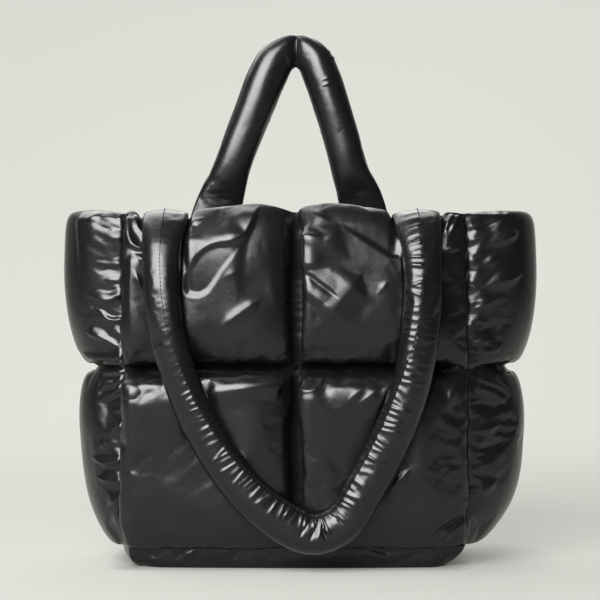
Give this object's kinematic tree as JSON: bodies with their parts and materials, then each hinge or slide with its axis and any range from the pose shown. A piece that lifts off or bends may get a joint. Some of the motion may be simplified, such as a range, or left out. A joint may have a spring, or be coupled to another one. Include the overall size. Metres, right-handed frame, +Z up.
{
  "type": "padded tote bag",
  "caption": "Open-topped padded tote bag with quilted square puffs, ruched side gussets, a padded base and stuffed tube handles for carrying on the arm or shoulder.",
  "frame": {"origin": "middle of the flat underside of the base, on the floor", "axes": "+Z up, front of the bag towards -Y, +X to the right seen from the front"},
  "size_m": [0.4493, 0.2167, 0.5047],
  "materials": {
    "nylon": "black woven nylon with a soft gloss, over a light filling"
  },
  "bodies": {
    "root": {"front_panel": "nylon", "back_panel": "nylon", "left_gusset": "nylon", "right_gusset": "nylon", "base_panel": "nylon", "front_handle": "nylon", "back_handle": "nylon"}
  },
  "joints": []
}
